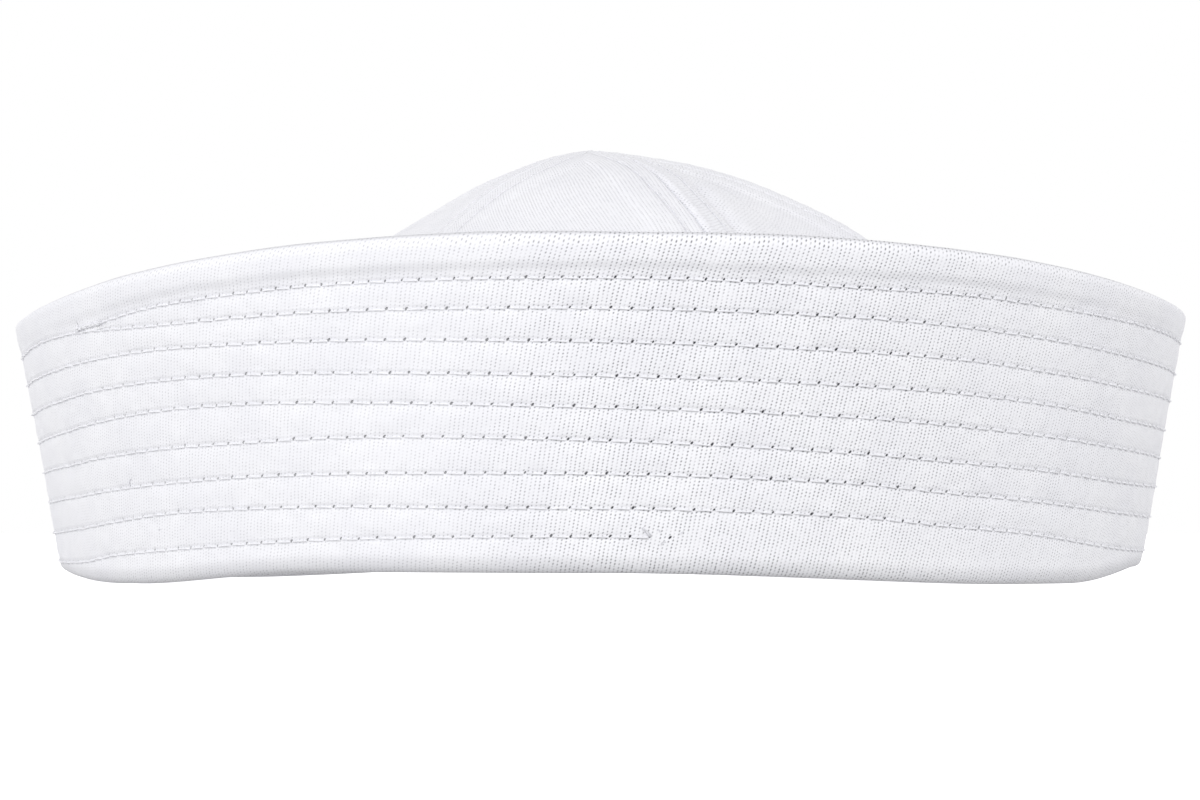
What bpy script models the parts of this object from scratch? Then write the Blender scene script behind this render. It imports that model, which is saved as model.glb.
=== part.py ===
"""A sailor cap of white cotton drill, standing on the fold of its turned-up brim.

The crown is six gores that run up to one point. The brim is a stitched double band: it
stands up round the crown from the fold at the floor, leans outwards, and dips at the sides.
Angles are degrees from the front, which faces -Y, and grow towards +X. Lengths are metres
and +Z is up. The origin is on the floor, below the middle of the cap.
"""

import math
from collections import namedtuple

import bmesh
import bpy

MM = 0.001

# Brim
FOLD_RADIUS = 95.0 * MM  # outside of the fold, which leaves room for a head of 57 cm
BRIM_HEIGHT = 56.4 * MM  # floor to rim, at the front and the back
BRIM_FLARE = math.radians(10.3)  # how far the band leans outwards
BRIM_THICKNESS = 2.4 * MM  # two layers of drill with a stiffener between them
FOLD_ROUNDING = 0.8 * MM  # corner radius along the fold
LARGEST_ROUNDING = 0.4  # as a share of the brim's thickness, so that the fold stays flat
LEFT_DIP = 11.4 * MM  # how much lower the rim is at the left side
RIGHT_DIP = 9.5 * MM
DIP_SHARPNESS = 2.8  # 2 is an even wave, and more keeps the front and back level
FOLD_LIFT = 2.2 * MM  # how far the fold rises between the four places that touch the floor

# Crown
CROWN_HEIGHT = 76.2 * MM  # floor to peak
CROWN_THICKNESS = 1.2 * MM
CROWN_LEAN = 5.0 * MM  # how far the dome slumps to the right
FOOT_RISE = 1.0 * MM  # the gores' lower edge above the underside of the fold
FIRST_SEAM = 19.0  # angle of the seam right of the front
PANEL_COUNT = 6
PANEL_SAG = 2.7 * MM  # how far a gore sinks between its two seams
TIP_RADIUS = 1.0 * MM  # the gores' points stop this far from the peak

# Clearances
CLEARANCE = 0.3 * MM  # between pieces that touch

# Mesh
BRIM_STEPS = 96
BRIM_ROWS = 7
RIM_STEPS = 5
FOLD_STEPS = 2
PANEL_COLUMNS = 8
PANEL_ROWS = 16
SLOPE_STEP = 0.002  # share of a gore's length over which its slope is read

COTTON_WHITE = (0.83, 0.83, 0.86, 1.0)
COTTON_ROUGHNESS = 0.92

# The dome's side, from the peak to the foot. The columns are shares: of a gore's length,
# of the foot's radius, of the height above the foot, of CROWN_LEAN and of PANEL_SAG.
CrownRow = namedtuple("CrownRow", "along reach height lean sag")
CROWN_PROFILE = (
    CrownRow(0.00, 0.000, 1.000, -0.28, 0.00),
    CrownRow(0.06, 0.082, 0.985, -0.12, 0.12),
    CrownRow(0.13, 0.174, 0.957, 0.30, 0.26),
    CrownRow(0.22, 0.285, 0.903, 0.56, 0.42),
    CrownRow(0.36, 0.445, 0.786, 0.98, 0.68),
    CrownRow(0.60, 0.700, 0.540, 0.65, 1.00),
    CrownRow(0.80, 0.880, 0.275, 0.20, 0.82),
    CrownRow(0.93, 0.968, 0.090, 0.04, 0.32),
    CrownRow(1.00, 1.000, 0.000, 0.00, 0.00),
)

# The fold round the cap: lift is a share of FOLD_LIFT, and 0 rests on the floor.
FoldRow = namedtuple("FoldRow", "angle lift")
FOLD_WAVE = (
    FoldRow(-180, 1.00),
    FoldRow(-135, 0.00),
    FoldRow(-120, 0.00),
    FoldRow(-90, 1.10),
    FoldRow(-60, 0.00),
    FoldRow(-56, 0.00),
    FoldRow(-28, 1.00),
    FoldRow(0, 0.95),
    FoldRow(48, 0.00),
    FoldRow(57, 0.00),
    FoldRow(80, 1.15),
    FoldRow(90, 1.20),
    FoldRow(120, 0.00),
    FoldRow(135, 0.00),
    FoldRow(180, 1.00),
)

# The gores from FIRST_SEAM round to the right: drift is how far the seam at a gore's start
# has slipped from its even place, in degrees, and slack is a share of PANEL_SAG.
PanelRow = namedtuple("PanelRow", "drift slack")
PANEL_TABLE = (
    PanelRow(0, 0.8),
    PanelRow(2, 1.2),
    PanelRow(-3, 0.9),
    PanelRow(1, 1.1),
    PanelRow(-4, 0.7),
    PanelRow(-9, 0.45),
)

# Soft dents in the crown: angle and spread in degrees, along and reach as shares of a
# gore's length, and depth as a share of PANEL_SAG. A negative depth is a fold that stands up.
DentRow = namedtuple("DentRow", "angle spread along reach depth")
CROWN_DENTS = (
    DentRow(-62, 16, 0.34, 0.16, 0.70),
    DentRow(44, 14, 0.30, 0.20, 0.55),
    DentRow(110, 22, 0.55, 0.22, 0.60),
    DentRow(172, 20, 0.42, 0.20, 0.75),
    DentRow(-128, 18, 0.58, 0.18, 0.65),
    DentRow(80, 9, 0.34, 0.30, -0.15),
    DentRow(-20, 12, 0.72, 0.16, 0.40),
)


def smooth_step(share):
    """0 to 1 with a level start and end."""
    share = min(1.0, max(0.0, share))
    return share * share * (3.0 - 2.0 * share)


def wrapped(angle):
    """The angle between -180 and 180 degrees."""
    return (angle + 180.0) % 360.0 - 180.0


def curve_value(rows, at, key, column):
    """A column's value between two rows, on a smooth curve through all of them."""
    xs = [getattr(row, key) for row in rows]
    ys = [getattr(row, column) for row in rows]

    def slope(i):
        before, after = max(0, i - 1), min(len(xs) - 1, i + 1)
        return (ys[after] - ys[before]) / (xs[after] - xs[before])

    i = max(j for j in range(len(xs) - 1) if xs[j] <= max(at, xs[0]))
    width = xs[i + 1] - xs[i]
    t = (at - xs[i]) / width
    return (
        ys[i] * (1 + 2 * t) * (1 - t) ** 2
        + ys[i + 1] * t * t * (3 - 2 * t)
        + width * t * (1 - t) * (slope(i) * (1 - t) - slope(i + 1) * t)
    )


def fold_lift(angle):
    """Height of the fold's underside above the floor."""
    angle = wrapped(angle)
    for low, high in zip(FOLD_WAVE, FOLD_WAVE[1:]):
        if angle <= high.angle:
            share = smooth_step((angle - low.angle) / (high.angle - low.angle))
            return FOLD_LIFT * (low.lift + (high.lift - low.lift) * share)
    return FOLD_LIFT * FOLD_WAVE[-1].lift


def rim_height(angle):
    """Height of the rim above the floor: level at the front and back, lower at the sides."""
    dip = RIGHT_DIP if wrapped(angle) > 0 else LEFT_DIP
    return BRIM_HEIGHT - dip * abs(math.sin(math.radians(angle))) ** DIP_SHARPNESS


def band_radius(height):
    """Radius of the brim's outer face at a height above the floor."""
    return FOLD_RADIUS + height * math.tan(BRIM_FLARE)


def at_angle(angle, radius, height):
    """A point from its angle round the cap, its radius and its height."""
    turn = math.radians(angle)
    return (radius * math.sin(turn), -radius * math.cos(turn), height)


def angle_of(point):
    return math.degrees(math.atan2(point.x, -point.y))


def brim_outline():
    """The band's cross-section as (depth from the outer face, height), standing upright."""
    half = BRIM_THICKNESS / 2
    rounding = min(FOLD_ROUNDING, LARGEST_ROUNDING * BRIM_THICKNESS)
    top = BRIM_HEIGHT - half
    outer = [(0.0, rounding + (top - rounding) * i / BRIM_ROWS) for i in range(BRIM_ROWS + 1)]
    rim = []
    for i in range(1, RIM_STEPS):
        turn = math.pi * i / RIM_STEPS
        rim.append((half - half * math.cos(turn), top + half * math.sin(turn)))
    inner = [(BRIM_THICKNESS, height) for _, height in reversed(outer)]
    fold = []
    for corner, start in ((BRIM_THICKNESS - rounding, 0.0), (rounding, math.pi / 2)):
        for i in range(FOLD_STEPS + 1):
            turn = start + math.pi / 2 * i / FOLD_STEPS
            fold.append((corner + rounding * math.cos(turn), rounding * (1 - math.sin(turn))))
    return outer + rim + inner + fold[1:-1]


def make_brim(collection, material):
    """Spins the outline into an upright ring, then leans it out and gives it its dips and lifts."""
    mesh = bmesh.new()
    corners = [
        mesh.verts.new((0.0, depth - FOLD_RADIUS, height)) for depth, height in brim_outline()
    ]
    edges = [mesh.edges.new(pair) for pair in zip(corners, corners[1:] + corners[:1])]
    bmesh.ops.spin(
        mesh,
        geom=corners + edges,
        cent=(0, 0, 0),
        axis=(0, 0, 1),
        angle=math.tau,
        steps=BRIM_STEPS,
        use_merge=True,
    )
    for vertex in mesh.verts:
        angle = angle_of(vertex.co)
        depth = FOLD_RADIUS - vertex.co.xy.length
        share = vertex.co.z / BRIM_HEIGHT
        low = fold_lift(angle)
        height = low + share * (rim_height(angle) - low)
        vertex.co = at_angle(angle, band_radius(height) - depth, height)
    return finish(mesh, "brim", collection, material)


def foot_radius(angle):
    """Outer radius of the crown where it meets the brim's inner face."""
    foot = fold_lift(angle) + FOOT_RISE
    return band_radius(foot) - BRIM_THICKNESS - CLEARANCE


def dome_section(angle, along):
    """Radius and height of the bare dome's outer face."""
    foot = fold_lift(angle) + FOOT_RISE
    radius = foot_radius(angle) * curve_value(CROWN_PROFILE, along, "along", "reach")
    height = foot + (CROWN_HEIGHT - foot) * curve_value(CROWN_PROFILE, along, "along", "height")
    return radius, height


def sag_depth(angle, along, across, slack):
    """How far the cloth sinks below the bare dome."""
    depth = slack * (1 - across * across)
    for dent in CROWN_DENTS:
        sideways = wrapped(angle - dent.angle) / dent.spread
        lengthways = (along - dent.along) / dent.reach
        depth += dent.depth * math.exp(-sideways * sideways - lengthways * lengthways)
    return PANEL_SAG * depth * curve_value(CROWN_PROFILE, along, "along", "sag")


def seam_angle(index):
    """Angle of the seam where a gore starts."""
    turns, place = divmod(index, PANEL_COUNT)
    drift = PANEL_TABLE[place % len(PANEL_TABLE)].drift
    return FIRST_SEAM + (turns + place / PANEL_COUNT) * 360.0 + drift


def crown_point(index, across, along, below):
    """A point of a gore: across is -1 and 1 at its seams, below is the depth in the cloth."""
    low, high = seam_angle(index), seam_angle(index + 1)
    middle, half = (low + high) / 2, (high - low) / 2
    angle = middle + across * half
    slack = PANEL_TABLE[index % len(PANEL_TABLE)].slack
    radius, height = dome_section(angle, along)
    inner = dome_section(angle, max(0.0, along - SLOPE_STEP))
    outer = dome_section(angle, min(1.0, along + SLOPE_STEP))
    length = math.dist(inner, outer)
    depth = below + sag_depth(angle, along, across, slack)
    radius -= depth * (inner[1] - outer[1]) / length
    height -= depth * (outer[0] - inner[0]) / length
    margin = math.degrees(math.asin(min(1.0, CLEARANCE / 2 / radius)))
    x, y, z = at_angle(middle + across * (half - margin), radius, height)
    return (x + CROWN_LEAN * curve_value(CROWN_PROFILE, along, "along", "lean"), y, z)


def make_panel(index, collection, material):
    """One gore: a grid bent to the dome for its face, another for its back, joined at the edge."""
    top = CROWN_PROFILE[1]
    tip = TIP_RADIUS / FOLD_RADIUS * top.along / top.reach
    mesh = bmesh.new()
    for below in (0.0, CROWN_THICKNESS):
        grid = bmesh.ops.create_grid(
            mesh, x_segments=PANEL_COLUMNS, y_segments=PANEL_ROWS, size=1.0
        )
        for vertex in grid["verts"]:
            along = tip + (1 - tip) * (1 - vertex.co.y) / 2
            vertex.co = crown_point(index, vertex.co.x, along, below)
    edges = [edge for edge in mesh.edges if edge.is_boundary]
    bmesh.ops.bridge_loops(mesh, edges=edges)
    return finish(mesh, f"crown_panel_{index + 1}", collection, material)


def finish(mesh, name, collection, material):
    """Turns the faces outwards and makes the object."""
    bmesh.ops.recalc_face_normals(mesh, faces=mesh.faces)
    data = bpy.data.meshes.new(name)
    mesh.to_mesh(data)
    mesh.free()
    data.materials.append(material)
    data.shade_smooth()
    data.set_sharp_from_angle(angle=math.radians(40))
    made = bpy.data.objects.new(name, data)
    collection.objects.link(made)
    return made


def make_cotton(name):
    """White cotton drill: matt, with no metal in it."""
    material = bpy.data.materials.new(name)
    material.use_nodes = True
    shader = material.node_tree.nodes["Principled BSDF"]
    shader.inputs["Base Color"].default_value = COTTON_WHITE
    shader.inputs["Roughness"].default_value = COTTON_ROUGHNESS
    shader.inputs["Metallic"].default_value = 0.0
    return material


def main():
    for thing in list(bpy.data.objects):
        bpy.data.objects.remove(thing)
    cap = bpy.data.collections.new("Sailor cap")
    bpy.context.scene.collection.children.link(cap)
    make_brim(cap, make_cotton("Brim cotton"))
    for index in range(PANEL_COUNT):
        make_panel(index, cap, make_cotton(f"Crown cotton {index + 1}"))


main()
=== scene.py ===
"""The looks of a white cotton sailor cap, built round its packed solids.

The brim is a turned-up band of two layers of drill, held together by one long row of
stitches that winds round it nine times. The crown is six gores with pressed-open seams,
each stitched down on both sides. Angles are degrees from the front, which faces -Y, and grow
towards +X. Constants and tables hold millimetres unless they say otherwise, and the settings
hold metres, as Blender does.
"""

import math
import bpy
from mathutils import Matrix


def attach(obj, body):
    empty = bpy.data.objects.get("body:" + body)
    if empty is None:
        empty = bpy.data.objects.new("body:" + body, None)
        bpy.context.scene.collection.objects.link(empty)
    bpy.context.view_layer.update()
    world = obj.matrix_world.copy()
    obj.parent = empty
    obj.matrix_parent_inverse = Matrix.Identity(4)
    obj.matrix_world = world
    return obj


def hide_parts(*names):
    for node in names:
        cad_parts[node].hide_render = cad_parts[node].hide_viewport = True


bl_info = {
    "name": "Sailor cap",
    "version": (1, 0, 0),
    "blender": (4, 5, 0),
    "location": "3D View > Sidebar > Cap",
    "description": "Builds a stitched cotton sailor cap with a gored crown",
    "category": "Object",
}

from collections import namedtuple
from functools import lru_cache, partial

import bmesh
import bpy
from bpy.props import FloatProperty, FloatVectorProperty, PointerProperty
from bpy.types import Operator, Panel, PropertyGroup
from mathutils import Vector, noise

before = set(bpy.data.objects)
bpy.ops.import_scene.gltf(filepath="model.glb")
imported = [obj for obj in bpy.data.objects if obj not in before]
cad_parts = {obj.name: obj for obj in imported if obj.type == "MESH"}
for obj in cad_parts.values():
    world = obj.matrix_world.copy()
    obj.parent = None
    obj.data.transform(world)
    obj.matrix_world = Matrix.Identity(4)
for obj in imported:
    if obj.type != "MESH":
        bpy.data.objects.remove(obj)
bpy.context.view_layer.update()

MM = 0.001

# Brim, as the solids have it
FOLD_RADIUS = 95.0
BRIM_HEIGHT = 56.4
BRIM_FLARE = math.radians(10.3)
BRIM_THICKNESS = 2.4
LEFT_DIP = 11.4
RIGHT_DIP = 9.5
DIP_SHARPNESS = 2.8
FOLD_LIFT = 2.2

# Crown, as the solids have it
CROWN_HEIGHT = 76.2
CROWN_THICKNESS = 1.2
CROWN_LEAN = 5.0
FOOT_RISE = 1.0
FIRST_SEAM = 19.0
PANEL_COUNT = 6
PANEL_SAG = 2.7
CLEARANCE = 0.3
FOOT_SEAT = 0.9  # how far the crown's sewn foot is pushed into the brim, which closes the gap
GORE_LENGTH = 121.0

# How high the fold is off the floor round the brim, as shares of FOLD_LIFT
FoldRow = namedtuple("FoldRow", "angle lift")
FOLD_WAVE = [FoldRow(*row) for row in (
    (-180, 1.00), (-135, 0.00), (-120, 0.00), (-90, 1.10), (-60, 0.00), (-56, 0.00),
    (-28, 1.00), (0, 0.95), (48, 0.00), (57, 0.00), (80, 1.15), (90, 1.20), (120, 0.00),
    (135, 0.00), (180, 1.00),
)]

# Down a gore from the peak at 0 to the foot at 1: shares of the dome's radius and height, of
# the crown's lean to one side, and of the sag between two seams
CrownRow = namedtuple("CrownRow", "along reach height lean sag")
CROWN_PROFILE = (
    CrownRow(0.00, 0.000, 1.000, -0.28, 0.00),
    CrownRow(0.06, 0.082, 0.985, -0.12, 0.12),
    CrownRow(0.13, 0.174, 0.957, 0.30, 0.26),
    CrownRow(0.22, 0.285, 0.903, 0.56, 0.42),
    CrownRow(0.36, 0.445, 0.786, 0.98, 0.68),
    CrownRow(0.60, 0.700, 0.540, 0.65, 1.00),
    CrownRow(0.80, 0.880, 0.275, 0.20, 0.82),
    CrownRow(0.93, 0.968, 0.090, 0.04, 0.32),
    CrownRow(1.00, 1.000, 0.000, 0.00, 0.00),
)

# How far the seam where each gore starts is from its even place, and how slack the gore is
PanelRow = namedtuple("PanelRow", "drift slack")
PANEL_TABLE = [PanelRow(*row) for row in (
    (0, 0.8), (2, 1.2), (-3, 0.9), (1, 1.1), (-4, 0.7), (-9, 0.45),
)]

# Dents in the crown, or swells where the depth is below 0. The solids lack the last one
DentRow = namedtuple("DentRow", "angle spread along reach depth")
CROWN_DENTS = (
    DentRow(-62, 16, 0.34, 0.16, 0.70),
    DentRow(44, 14, 0.30, 0.20, 0.55),
    DentRow(110, 22, 0.55, 0.22, 0.60),
    DentRow(172, 20, 0.42, 0.20, 0.75),
    DentRow(-128, 18, 0.58, 0.18, 0.65),
    DentRow(80, 9, 0.34, 0.30, -0.15),
    DentRow(-20, 12, 0.72, 0.16, 0.40),
    DentRow(-92, 26, 0.40, 0.13, -1.00),
)

# A crown seam's own ways: how far it sways from its plain course in degrees, how far the rows
# of stitches run from it on its left and right, how high the cloth rolls along its right edge,
# how deep the crease is beyond the allowance on its right, and how high its stitches stand
SeamRow = namedtuple("SeamRow", "sway left_row right_row roll crease stand")
SEAM_TABLE = (
    SeamRow(-1.5, 3.1, 4.7, 0.42, 1.50, 0.16),
    SeamRow(0.0, 4.0, 4.0, 0.10, 0.20, 0.00),
    SeamRow(0.0, 4.0, 4.0, 0.15, 0.10, 0.05),
    SeamRow(0.0, 4.0, 4.0, 0.10, 0.15, 0.05),
    SeamRow(0.0, 4.0, 4.0, 0.15, 0.10, 0.05),
    SeamRow(-5.0, 4.0, 4.0, 0.15, 0.25, 0.05),
)
# Where a seam sways most and how far up and down that reaches, in shares of a gore's length
SWAY_PLACE = 0.305
SWAY_REACH = 0.11

# Heights of the nine turns of the long stitch row above the floor, from the top one down, at
# angles round the brim. The row winds down to the right, so each turn at 180 degrees is the
# next one at -180. The top turn runs into the second left of the front.
TurnRow = namedtuple("TurnRow", ["angle"] + [f"turn_{number}" for number in range(1, 10)])
STITCH_TURNS = (
    TurnRow(-180, 52.3, 47.1, 41.9, 36.7, 31.5, 26.3, 21.1, 15.9, 10.7),
    TurnRow(-120, 46.7, 41.5, 36.6, 31.4, 26.4, 21.2, 16.0, 10.8, 5.7),
    TurnRow(-85, 44.1, 39.1, 34.4, 29.3, 24.3, 19.1, 13.9, 8.6, 3.7),
    TurnRow(-68, 43.6, 41.4, 36.0, 30.8, 25.6, 20.0, 14.6, 9.2, 3.6),
    TurnRow(-59, 42.9, 42.4, 37.4, 32.3, 27.1, 21.2, 15.6, 10.3, 4.8),
    TurnRow(-47, 45.8, 42.9, 38.9, 33.8, 28.9, 22.6, 16.9, 11.9, 5.9),
    TurnRow(-36, 47.6, 43.8, 39.5, 34.5, 29.7, 23.4, 17.8, 12.6, 6.9),
    TurnRow(-26, 48.8, 44.5, 39.8, 34.6, 29.8, 24.1, 18.2, 12.9, 7.6),
    TurnRow(-12, 49.5, 44.8, 39.7, 34.3, 29.4, 24.1, 18.3, 12.7, 8.0),
    TurnRow(6, 49.5, 44.6, 39.2, 33.7, 28.6, 23.2, 18.0, 12.5, 7.9),
    TurnRow(25, 48.3, 43.5, 38.0, 32.5, 27.4, 21.6, 16.7, 11.3, 6.5),
    TurnRow(36, 47.5, 42.3, 37.0, 31.5, 26.2, 20.3, 15.2, 9.8, 5.0),
    TurnRow(47, 46.0, 40.7, 35.4, 30.1, 24.9, 19.2, 14.0, 8.6, 3.8),
    TurnRow(65, 43.7, 38.1, 32.9, 27.6, 22.8, 17.2, 12.1, 6.1, 1.5),
    TurnRow(85, 41.9, 36.5, 31.7, 26.6, 21.7, 16.7, 11.4, 5.5, 0.8),
    TurnRow(120, 43.4, 38.1, 33.1, 28.0, 22.9, 17.8, 12.5, 7.0, 1.8),
    TurnRow(180, 47.1, 41.9, 36.7, 31.5, 26.3, 21.1, 15.9, 10.7, 5.5),
)
TURN_PITCH = 5.2
TOP_TURN = 1 - 59.2 / 360  # the row ends here, at a knot left of the front
BOTTOM_TURN = 9 + 4.9 / 360  # and starts here, just right of the front's middle

# How many stitches the row has down to a place on it, where whole places face the front. They
# are shorter in the top turn.
StitchCount = namedtuple("StitchCount", "place count")
STITCH_COUNTS = [StitchCount(*row) for row in (
    (0.5, 0), (1.5, 221), (2.5, 416), (3.5, 606), (4.5, 794), (5.5, 980), (6.5, 1165),
    (7.5, 1350), (8.5, 1533), (BOTTOM_TURN, 1629), (9.5, 1720),
)]

STITCH_LENGTH = 3.3
STITCHES_A_TURN = 190.0  # about how many the long row has in one turn
STITCH_STRAY = 0.05  # how far a needle hole strays along the row, in stitches
STITCH_WOBBLE = 0.06  # how far a needle hole strays up and down
STRAY_BEAT = 12.9898  # radians from one hole to the next, which make its straying look random
WOBBLE_BEAT = 78.233

# One stitch along its length: share of the stitch, height above the cloth, share of thickness
StitchPoint = namedtuple("StitchPoint", "share rise thickness")
STITCH_SHAPE = (
    StitchPoint(0.00, -0.40, 0.75),
    StitchPoint(0.07, 0.06, 1.00),
    StitchPoint(0.15, 0.18, 1.30),
    StitchPoint(0.28, 0.10, 1.00),
    StitchPoint(0.55, 0.06, 0.85),
    StitchPoint(0.82, 0.06, 0.80),
    StitchPoint(0.93, -0.04, 0.75),
)

# The knot is sewn back and forth over this many degrees and millimetres
KNOT_PASSES = 3
KNOT_STEPS = 14  # points in a pass
KNOT_WIDTH = 5.0
KNOT_HEIGHT = 1.0

# The thread's tail runs up and to the left by this many degrees and millimetres
TAIL_STEPS = 12
TAIL_WIDTH = 0.85
TAIL_HEIGHT = 1.75

# Specks of lint on the brim: where they lie, how long they are, and which way they point
LintRow = namedtuple("LintRow", "angle height length tilt")
LINT = (
    LintRow(5.6, 8.9, 0.7, -40.0),
    LintRow(6.1, 6.9, 0.9, 35.0),
    LintRow(7.9, 8.6, 0.6, 40.0),
    LintRow(-53.5, 16.9, 1.6, 65.0),
    LintRow(-49.5, 9.1, 0.5, 10.0),
    LintRow(46.8, 8.9, 0.5, 30.0),
)
LINT_STEPS = 6
LINT_WIDTH = 0.4  # of a thread

# A change that sets in at a start and is whole a width further on, or back if that is below 0
Fade = namedtuple("Fade", "start width")
ROW_MARKS_END = Fade(1.2, 0.6)  # distance from the long row
FOLD_RELIEF = Fade(0.0, 3.0)  # height above the fold
HEM_RISE = Fade(0.16, 0.3)  # share of the way from the top stitches to the rim
HEM_THINNING = Fade(0.75, 0.25)
HEM_SIDES = Fade(30.0, 40.0)  # degrees from the front, as are the next four
HOLE_SHADE_FADE = Fade(26.0, 28.0)
WEAVE_SHOWS_RIGHT = Fade(-20.0, 26.0)
WEAVE_SHOWS_LEFT = Fade(-80.0, -70.0)
WEAVE_FADES_RIGHT = Fade(26.0, 24.0)
ALLOWANCE_EDGE = Fade(-0.6, 1.2)  # distance beyond the seam allowance
SEAM_ROLL_START = Fade(0.12, 0.12)  # share of the way down a gore, as are the next two
PEAK_CALM = Fade(0.0, 0.2)
FOOT_SEATING = Fade(0.95, 0.05)
LEAST_WEAVE_SHARE = 0.4  # how much of the weave's relief and painted shade shows where it shows least, left of the front
FAR_RIGHT_WEAVE_LOSS = 0.55  # how much of it is lost at the far right
SIDE_HOLE_SHADE = 0.4  # how dark the needle holes' painted shade is at the sides
ROW_END_MARGIN = 0.008  # how far the long row's marks go on past its last stitch, in turns

# The stage, in metres
FLOOR_SIZE = 8.0
LAMP_PLACE = (-0.46, -1.41, 0.6)
LAMP_AIM = (0.0, 0.0, 0.03)
LAMP_SIZE = 0.6
CAMERA_PLACE = (0.0, -1.0588, 0.0104)
CAMERA_TILT = math.radians(91.173)
CAMERA_LENS = 178.7  # millimetres, on a frame 36 wide

# The rows beside the crown's seams start and stop at these shares of a gore's length
TOPSTITCH_START = 0.09
TOPSTITCH_END = 0.985
CROWN_STITCHES = int((TOPSTITCH_END - TOPSTITCH_START) * GORE_LENGTH / STITCH_LENGTH)

# How many faces the cloth has round the cap and across its parts
BRIM_STEPS = 600
OUTER_ROWS = 86
RIM_ROWS = 12
INNER_ROWS = 48
FOLD_ROWS = 12
GORE_COLUMNS = 60
GORE_ROWS = 104

EDGE_CROWDING = 1.25  # radians of a sine that crowd a gore's columns towards its seams
BRIM_RIBS = 839  # whole ribs round the brim, so the weave meets itself at the back
BRIM_LEAN_RIBS = 29  # ribs that the lean crosses in one trip round the brim's section
BRIM_FLOATS = 200  # gaps between yarns in that trip
HEM_PULL = 0.8  # how many ribs the hem is pulled to the right at the rim
BRIM_LOOP = 2 * (BRIM_HEIGHT - BRIM_THICKNESS) + math.pi * BRIM_THICKNESS
RIM_CREST = BRIM_HEIGHT - BRIM_THICKNESS / 2 + math.pi / 4 * BRIM_THICKNESS
CROWN_LEAN_OF_RIBS = math.radians(25.0)
CROWN_WEAVE = 0.55  # how strongly the crown's weave shows


def linear(code):
    """Linear RGBA of an sRGB hex colour."""
    shares = [int(code[i : i + 2], 16) / 255 for i in (1, 3, 5)]
    return [s / 12.92 if s <= 0.04045 else ((s + 0.055) / 1.055) ** 2.4 for s in shares] + [1.0]


def smooth_step(share):
    """A share held between 0 and 1 and eased at both ends."""
    share = min(1.0, max(0.0, share))
    return share * share * (3.0 - 2.0 * share)


def passed(value, fade):
    """How much of a change is whole at a value: 0 before its start, 1 beyond its width."""
    return smooth_step((value - fade.start) / fade.width)


def bell(distance, width):
    """1 at no distance, falling away over a width."""
    return math.exp(-((distance / width) ** 2))


def wrapped(angle):
    """An angle brought to between -180 and 180."""
    return (angle + 180.0) % 360.0 - 180.0


def curve_value(rows, at, key, column):
    """A column's value between two rows, on a smooth curve through all of them."""
    places = [getattr(row, key) for row in rows]
    values = [getattr(row, column) for row in rows]
    last = len(rows) - 1
    low = 0
    while low < last - 1 and places[low + 1] <= at:
        low += 1
    high = low + 1

    def slope(left, right):
        return (values[right] - values[left]) / (places[right] - places[left])

    width = places[high] - places[low]
    t = (at - places[low]) / width
    bend = slope(max(0, low - 1), high) * (1 - t) - slope(low, min(last, high + 1)) * t
    level = values[low] * (1 + 2 * t) * (1 - t) ** 2 + values[high] * t * t * (3 - 2 * t)
    return level + width * t * (1 - t) * bend


def at_angle(angle, radius, height):
    """A point in metres from its angle round the cap, and its radius and height in mm."""
    turn = math.radians(angle)
    return Vector((radius * math.sin(turn), -radius * math.cos(turn), height)) * MM


@lru_cache(maxsize=None)
def fold_lift(angle):
    """Height of the fold's underside above the floor."""
    angle = wrapped(angle)
    for low, high in zip(FOLD_WAVE, FOLD_WAVE[1:]):
        if angle <= high.angle:
            share = smooth_step((angle - low.angle) / (high.angle - low.angle))
            return FOLD_LIFT * (low.lift + (high.lift - low.lift) * share)
    return FOLD_LIFT * FOLD_WAVE[-1].lift


@lru_cache(maxsize=None)
def rim_height(angle):
    """Height of the rim above the floor."""
    dip = RIGHT_DIP if wrapped(angle) > 0 else LEFT_DIP
    return BRIM_HEIGHT - dip * abs(math.sin(math.radians(angle))) ** DIP_SHARPNESS


def band_radius(height):
    """Radius of the brim's outer face at a height above the floor."""
    return FOLD_RADIUS + height * math.tan(BRIM_FLARE)


@lru_cache(maxsize=None)
def turn_heights(angle):
    """Heights of the stitch row's nine turns at an angle, from the top down."""
    angle = wrapped(angle)
    return [curve_value(STITCH_TURNS, angle, "angle", f"turn_{n}") for n in range(1, 10)]


def stitched(turn, angle):
    """Whether the stitch row is there: it starts and ends part of the way round."""
    return TOP_TURN <= turn + wrapped(angle) / 360 <= BOTTOM_TURN


def nearest_turn(angle, height):
    """The nearest turn of stitches to a point of the brim, and how far below it the point is.
    A turn's missing stretch beyond the row's first stitch counts too."""
    first = 1 if stitched(1, angle) else 2
    levels = enumerate(turn_heights(angle)[first - 1 :], start=first)
    turns = ((number, level - height) for number, level in levels)
    return min(turns, key=lambda turn: abs(turn[1]))


@lru_cache(maxsize=None)
def stitch_number(place):
    """How many stitches the row has down to a place on it."""
    return curve_value(STITCH_COUNTS, place, "place", "count")


def stitch_place(number):
    """Where on the row a stitch is: the reverse of stitch_number."""
    place = 0.5 + number / STITCHES_A_TURN
    for _ in range(5):
        place += (number - curve_value(STITCH_COUNTS, place, "place", "count")) / STITCHES_A_TURN
    return place


def stray(number):
    """How far a needle hole is out of its place: along the row in stitches, and down in mm."""
    across = STITCH_STRAY * math.sin(STRAY_BEAT * number)
    return across, STITCH_WOBBLE * math.sin(WOBBLE_BEAT * number)


def row_place(angle, height):
    """A point's place on the map of the stitch row: the number of stitches, the turn as a number
    that is whole on the stitches, and how near to the row it is, from 0 to 1."""
    number, below = nearest_turn(angle, height)
    place = number + angle / 360
    share = min(0.45, max(-0.45, below / TURN_PITCH))
    near = 1.0 - passed(abs(below), ROW_MARKS_END)
    if place > BOTTOM_TURN + ROW_END_MARGIN:
        near = 0.0
    return stitch_number(place), number + share, near


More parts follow.
